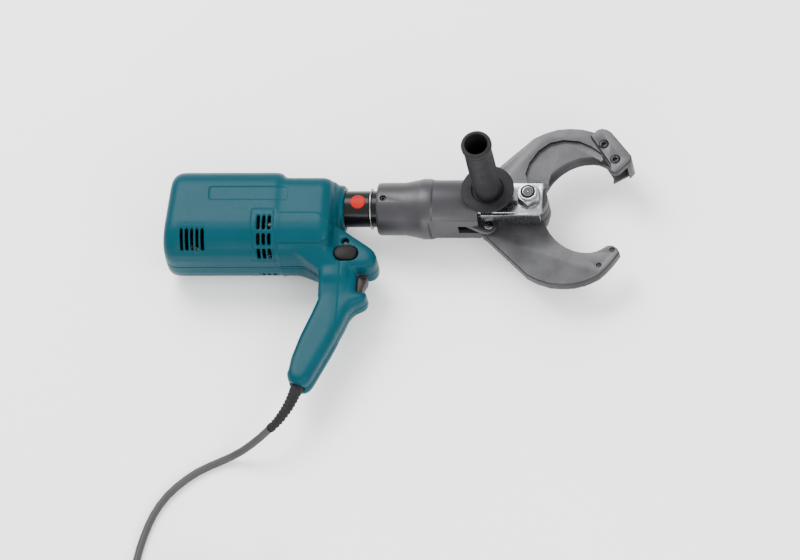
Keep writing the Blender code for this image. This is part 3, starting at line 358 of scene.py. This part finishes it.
def smooth_route(points, spacing):
    """Points every spacing millimetres on a Catmull-Rom curve through the given points."""
    ends = [Vector(points[0]) * 2 - Vector(points[1]), *map(Vector, points),
            Vector(points[-1]) * 2 - Vector(points[-2])]
    fine = []
    for a, b, c, d in zip(ends, ends[1:], ends[2:], ends[3:]):
        for step in range(24):
            t = step / 24
            fine.append(0.5 * ((2 * b) + (c - a) * t + (2 * a - 5 * b + 4 * c - d) * t * t
                               + (3 * b - a - 3 * c + d) * t ** 3))
    fine.append(Vector(points[-1]))
    total = sum((q - p).length for p, q in zip(fine, fine[1:]))
    count = max(2, round(total / spacing))
    kept, travelled = [fine[0]], 0.0
    for p, q in zip(fine, fine[1:]):
        travelled += (q - p).length
        if travelled >= total / count * len(kept) - 1e-6 and len(kept) < count:
            kept.append(q)
    kept.append(fine[-1])
    return kept


def ease(t):
    t = min(1.0, max(0.0, t))
    return t * t * (3 - 2 * t)


def coil_points():
    """The coil's turns: inwards along the floor, back out on top of those, and one outer turn above."""
    start = atan2(CORD_ROUTE[-1][1] - COIL_CENTRE.y, CORD_ROUTE[-1][0] - COIL_CENTRE.x)
    end = atan2(TAIL_ROUTE[0][1] - COIL_CENTRE.y, TAIL_ROUTE[0][0] - COIL_CENTRE.x)
    whole = COIL_TURNS * 2 * pi + (end - start) % (2 * pi)
    pitch = 2 * CORD_RADIUS + 0.05
    outer, turns = COIL_RADIUS + 9.0, LAYER_TURNS
    points = []
    steps = 26 * COIL_TURNS + 8
    entry = hypot(CORD_ROUTE[-1][0] - COIL_CENTRE.x, CORD_ROUTE[-1][1] - COIL_CENTRE.y)
    for index in range(1, steps):
        angle = whole * index / steps
        turn = angle / (2 * pi)
        if turn < turns:
            radius = outer - pitch * turn
        elif turn < 2 * turns:
            radius = outer - pitch * (2 * turns - turn)
        else:
            radius = outer
        rise = ease((turn - turns + 0.08) / 0.16) + ease((turn - 2 * turns + 0.08) / 0.16)
        height = CORD_ROUTE[-1][2] + rise * pitch * 0.97
        radius += (entry - outer) * (1 - ease(turn / 0.22))
        radius += (entry - outer) * ease((turn - whole / (2 * pi) + 0.20) / 0.20)
        around = start + angle
        points.append(COIL_CENTRE + Vector((radius * cos(around), radius * sin(around), height)))
    return points


def round_tube(name, route, radius, shares, resolution):
    """A tube along a route, its radius at each point a share of the given one."""
    curve = bpy.data.curves.new(name, "CURVE")
    curve.dimensions = "3D"
    curve.bevel_depth = radius * MM
    curve.bevel_resolution = resolution
    curve.use_fill_caps = True
    spline = curve.splines.new("POLY")
    spline.points.add(len(route) - 1)
    for point, place, share in zip(spline.points, route, shares):
        point.co = (*(place * MM), 1.0)
        point.radius = share
    return linked(curve, name)


def cord_piece():
    route = smooth_route(CORD_ROUTE, 14.0) + coil_points() + smooth_route(TAIL_ROUTE, 10.0)
    obj = round_tube("mains_cord", route, CORD_RADIUS, [1.0] * len(route), 4)
    show(obj, "cord", "tool_body", "cord", "cord", "cord_coil", "cord_tail")


def baked(obj):
    """Replaces an object's mesh by its evaluated one and clears its modifiers."""
    bpy.context.view_layer.update()
    graph = bpy.context.evaluated_depsgraph_get()
    mesh = bpy.data.meshes.new_from_object(obj.evaluated_get(graph))
    obj.modifiers.clear()
    obj.data = mesh
    return obj


def vectors(mesh, attribute):
    flat = np.empty(len(mesh.vertices) * 3, np.float32)
    mesh.vertices.foreach_get(attribute, flat)
    return flat.reshape(-1, 3).astype(np.float64)


def coordinates(mesh):
    """The mesh's vertex places in millimetres."""
    return vectors(mesh, "co") / MM


# ---------------------------------------------------------------- motor housing

VOXEL = 1.0
BODY_EDGE_Y = -38.0                         # where the side wall turns into the rounded lower edge
BODY_EDGE_Z = 13.0                          # that edge's centre, from the mid-plane
VENT_COLUMNS = [-376 + 5.7 * i for i in range(5)], [-292.5 + 6.0 * i for i in range(3)]
VENT_TOP = -28.0
BUTTON = (-197.1, -64.7)
SCREW_HOLE = (-198.2, -50.0)
TRIGGER_WAY_Y = -96.0
LOWER_ROUND = 33.0                          # radius of the body's rounded lower edge
# The parts of a shell that keep their shape while the rest is smoothed, by distance from their middle
SEAM_HOLD = 1.2
BORE_HOLD = 22.0
SCREW_HOLD = 5.6
BUTTON_HOLD = 10.6
VENT_SHARE = 0.25                           # how far the smoothing acts between the vents
SMOOTHING_STEPS = 70


def signed_distance(points, outline):
    """Distance of points in a plane to a closed outline, positive inside."""
    nearest = np.full(len(points), 1e9)
    inside = np.zeros(len(points), bool)
    for (ax, ay), (bx, by) in zip(outline, outline[1:] + outline[:1]):
        edge = np.array((bx - ax, by - ay))
        to = points - (ax, ay)
        share = np.clip((to @ edge) / (edge @ edge), 0, 1)
        nearest = np.minimum(nearest, np.hypot(*(to - share[:, None] * edge).T))
        crosses = (ay > points[:, 1]) != (by > points[:, 1])
        with np.errstate(divide="ignore", invalid="ignore"):
            inside ^= crosses & (points[:, 0] < (bx - ax) * (points[:, 1] - ay) / (by - ay) + ax)
    return np.where(inside, nearest, -nearest)


def rise(distance, width):
    """0 outside, 1 inside, with a smooth ramp of the given width across the line."""
    t = np.clip(distance / width + 0.5, 0, 1)
    return t * t * (3 - 2 * t)


def unrolled(points):
    """Side-wall coordinates: x, and the length down the side wall and round the body's lower edge."""
    down = BODY_EDGE_Y - points[:, 1]
    out = np.abs(points[:, 2] - MID) - BODY_EDGE_Z
    angle = np.arctan2(np.maximum(down, 0), np.maximum(out, 0.001))
    along = np.where(down > 0, BODY_EDGE_Y - LOWER_ROUND * angle, points[:, 1])
    return np.column_stack((points[:, 0], along))


def housing_shell(node, has_button):
    """A clamshell half remeshed finely, its facets and joints smoothed into moulded surfaces."""
    shell = linked(NODES[node].data.copy(), node + "_shell")
    remesh = shell.modifiers.new("Fine", "REMESH")
    remesh.mode = "VOXEL"
    remesh.voxel_size = VOXEL * MM
    baked(shell)
    x, y, z = coordinates(shell.data).T
    depth = np.abs(z - MID)

    near_vent = np.zeros(len(x), bool)
    for columns in VENT_COLUMNS:
        near_vent |= (x > columns[0] - 1.6) & (x < columns[-1] + 4.2) & (y < VENT_TOP)
    hold = depth < SEAM_HOLD
    hold |= (np.hypot(y, z - MID) < BORE_HOLD) & (x > -212)
    hold |= np.hypot(x - SCREW_HOLE[0], y - SCREW_HOLE[1]) < SCREW_HOLD
    if has_button:
        spread = np.maximum(np.abs(x - BUTTON[0]) - 5.0, 0)
        hold |= np.hypot(spread, y - BUTTON[1]) < BUTTON_HOLD
    hold |= (np.abs(y - TRIGGER_WAY_Y) < 13.5) & (x > -192) & (depth < 10.5)
    weights = np.where(hold, 0.0, np.where(near_vent, VENT_SHARE, 1.0))
    group = shell.vertex_groups.new(name="soft")
    for weight in (VENT_SHARE, 1.0):
        chosen = np.nonzero(weights == weight)[0].tolist()
        group.add(chosen, weight, "REPLACE")
    smooth = shell.modifiers.new("Blend", "SMOOTH")
    smooth.factor = 0.5
    smooth.iterations = SMOOTHING_STEPS
    smooth.vertex_group = "soft"
    baked(shell)
    mould_details(shell)
    shell.data.shade_smooth()
    show(shell, "housing", "tool_body", "housing", node)


# Raised side panel, badge recess and vent frame, in side-wall coordinates
PANEL = [(-271, -30), (-268, -27.5), (-228, -27.5), (-224, -29.5), (-213, -42), (-200, -50), (-190, -60),
         (-190, -110), (-268, -110), (-271, -107)]
BADGE = [(-347, 2), (-345, 4), (-263, 4), (-261, 2), (-261, -10), (-263, -12), (-345, -12), (-347, -10)]
VENT_FRAME = [(-299, -25), (-297, -23), (-275, -23), (-273, -25), (-273, -87), (-275, -89), (-297, -89),
              (-299, -87)]
PANEL_RISE = 0.9
BADGE_DEPTH = 0.7
FRAME_DEPTH = 0.55
FRAME_WIDTH_MM = 1.6
PANEL_END = -203.0                          # towards the head the panel fades out over FADE
FADE = 20.0
BODY_CENTRE = np.array((-300.0, -20.0, MID))


def mould_details(shell):
    """Raises the side panel and sinks the badge recess and the frame round the middle vents."""
    mesh = shell.data
    places = coordinates(mesh)
    normals = vectors(mesh, "normal")
    outward = np.einsum("ij,ij->i", normals, (places - BODY_CENTRE) * (0.0, 1.0, 1.0)) > 0
    x, y, z = places.T
    depth = np.abs(z - MID)
    skin = outward & (depth > 4.0) & (x < PANEL_END) & ((depth > 36.5) | (y < -60))
    wall = unrolled(places)
    lift = PANEL_RISE * rise(signed_distance(wall, PANEL), 1.6) * rise(PANEL_END - x, FADE)
    lift -= BADGE_DEPTH * rise(signed_distance(wall, BADGE), 1.4)
    frame_edge = signed_distance(wall, VENT_FRAME)
    lift -= FRAME_DEPTH * (rise(frame_edge, 1.2) - rise(frame_edge - FRAME_WIDTH_MM, 1.2))
    moved = places + normals * (lift * skin)[:, None]
    mesh.vertices.foreach_set("co", (moved * MM).astype(np.float32).ravel())
    mesh.update()


# ---------------------------------------------------------------- small visible pieces

def turned(profile, origin, axis, sides, name):
    """A turned piece from (radius, distance along the axis) pairs in millimetres."""
    mesh = bpy.data.meshes.new(name)
    shape = bmesh.new()
    verts = [shape.verts.new((r * MM, 0.0, h * MM)) for r, h in profile]
    hollow = profile[0][0] > 0 and profile[-1][0] > 0
    for first, second in zip(verts, verts[1:] + verts[:1] if hollow else verts[1:]):
        shape.edges.new((first, second))
    bmesh.ops.spin(shape, geom=shape.verts[:] + shape.edges[:], axis=(0, 0, 1), cent=(0, 0, 0), angle=2 * pi,
                   steps=sides, use_merge=True)
    bmesh.ops.remove_doubles(shape, verts=shape.verts, dist=0.000005)
    bmesh.ops.recalc_face_normals(shape, faces=shape.faces)
    turn = Vector(axis).to_track_quat("Z", "Y").to_matrix().to_4x4()
    place = Matrix.Translation(Vector(origin) * MM) @ turn
    bmesh.ops.transform(shape, matrix=place, verts=shape.verts)
    shape.to_mesh(mesh)
    shape.free()
    return linked(mesh, name)


def middle_of(node):
    low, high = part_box(node)
    return [(a + b) / 2 / MM for a, b in zip(low, high)]


RING_COUNT = 22
RING_PITCH = 3.6


def side_handle():
    """The rubber grip with its flared, hollow end, a groove and fine rings."""
    x, y, _ = middle_of("handle_grip")
    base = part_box("handle_grip")[0][2] / MM
    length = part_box("handle_grip")[1][2] / MM - base
    outer = [(12.6, length), (13.6, length), (15.6, length - 0.3), (16.5, length - 1.2), (16.8, length - 2.4),
             (16.8, length - 5.2), (16.4, length - 6.2), (15.3, length - 6.8), (14.7, length - 7.6),
             (14.7, length - 9.6), (15.2, length - 10.4), (15.3, length - 14)]
    for index in range(RING_COUNT):
        h = length - 16 - index * RING_PITCH
        outer += [(15.25, h), (15.05, h - 0.5), (15.05, h - 0.9), (15.25, h - 1.4)]
    outer += [(14.6, 4), (14.3, 1.2), (13.6, 0.2), (5.3, 0.2), (5.3, 20), (11.4, 24)]
    grip = turned(outer, (x, y, base), (0, 0, 1), 96, "side_grip")
    soften(grip, 0.15)
    show(grip, "rubber", "head", "rubber", "handle_grip")


BARREL_BORE = 16.0
DISC_PLACE = (-188.2, 0.8)                  # along the barrel, and round it from its upper line
DISC_RADIUS = 8.1
DISC_THICKNESS = 0.25
DISC_GAP = 0.03


def barrel_details():
    """The rolled oil barrel with its ring groove, and the plain red disc on it."""
    low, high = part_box("barrel")
    length = (high[0] - low[0]) / MM
    radius = (high[1] - low[1]) / 2 / MM
    rear = low[0] / MM
    groove = radius - 0.9
    profile = [(radius - 0.5, length), (radius, length - 0.5), (radius, 50.9), (groove, 50.5), (groove, 48.5),
               (radius, 48.1), (radius, 0), (BARREL_BORE, 0), (BARREL_BORE, length)]
    pipe = turned(profile, (rear, 0, MID), (1, 0, 0), 128, "oil_barrel")
    soften(pipe, 0.1)
    show(pipe, "black_steel", "tool_body", "black_steel", "barrel")
    disc = bmesh.new()
    bmesh.ops.create_circle(disc, cap_ends=True, segments=48, radius=DISC_RADIUS)
    bmesh.ops.subdivide_edges(disc, edges=disc.edges[:], cuts=1)
    bmesh.ops.poke(disc, faces=disc.faces)
    bmesh.ops.subdivide_edges(disc, edges=disc.edges[:], cuts=5, use_grid_fill=True)
    out = radius + DISC_GAP
    for vert in disc.verts:
        angle = (vert.co.y - DISC_PLACE[1]) / radius
        vert.co = (DISC_PLACE[0] + vert.co.x, out * sin(angle), MID + out * cos(angle))
    bmesh.ops.scale(disc, vec=(MM, MM, MM), verts=disc.verts)
    mesh = bpy.data.meshes.new("red_disc")
    disc.to_mesh(mesh)
    disc.free()
    obj = linked(mesh, "red_disc")
    obj.data.shade_smooth()
    solid = obj.modifiers.new("Thick", "SOLIDIFY")
    solid.thickness = DISC_THICKNESS * MM
    solid.offset = 1.0
    show(obj, "red", "tool_body", "trigger")


def nut_details():
    """The collar nut's nylon ring and the bolt's threads and chamfered end."""
    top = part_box("pivot_nut")[1][2] / MM
    ring = turned([(7.8, 1.0), (7.8, -0.8), (6.0, -0.8), (6.0, 0.7), (6.6, 1.1)],
                  (0, 0, top - 1.6), (0, 0, 1), 64, "nylon_ring")
    ring.data.shade_smooth()
    show(ring, "black", "head", "black")
    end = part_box("pivot_bolt")[1][2] / MM
    face = turned([(5.7, -2.2), (5.75, -1.6), (5.35, -1.3), (5.75, -1.0), (5.35, -0.7), (5.75, -0.4),
                   (5.1, 0.12), (3.4, 0.12), (3.1, 0.03), (2.2, 0.03), (1.9, 0.12), (0.6, 0.12), (0.6, -2.2)],
                  (0, 0, end), (0, 0, 1), 64, "bolt_end")
    face.data.shade_smooth()
    show(face, "grey_steel", "head", "bright")


RIB_DEPTH = 0.75


def strain_relief():
    """A tapering rubber sleeve with ribs around the cord where it leaves the grip."""
    route = smooth_route(RELIEF_ROUTE, 0.9)
    shares = []
    for index in range(len(route)):
        along = index / (len(route) - 1)
        radius = 7.4 - 2.5 * along
        if 0.22 < along < 0.93 and index % 5 in (0, 1):
            radius -= RIB_DEPTH
        shares.append(radius)
    obj = round_tube("ribbed_relief", route, 1.0, shares, 8)
    show(obj, "rubber", "tool_body", "rubber", "strain_relief")


FINISH = make_finishes()
studio()
cord_piece()
dress_cad_nodes()
housing_shell("housing_near", True)
housing_shell("housing_far", False)
side_handle()
barrel_details()
nut_details()
strain_relief()
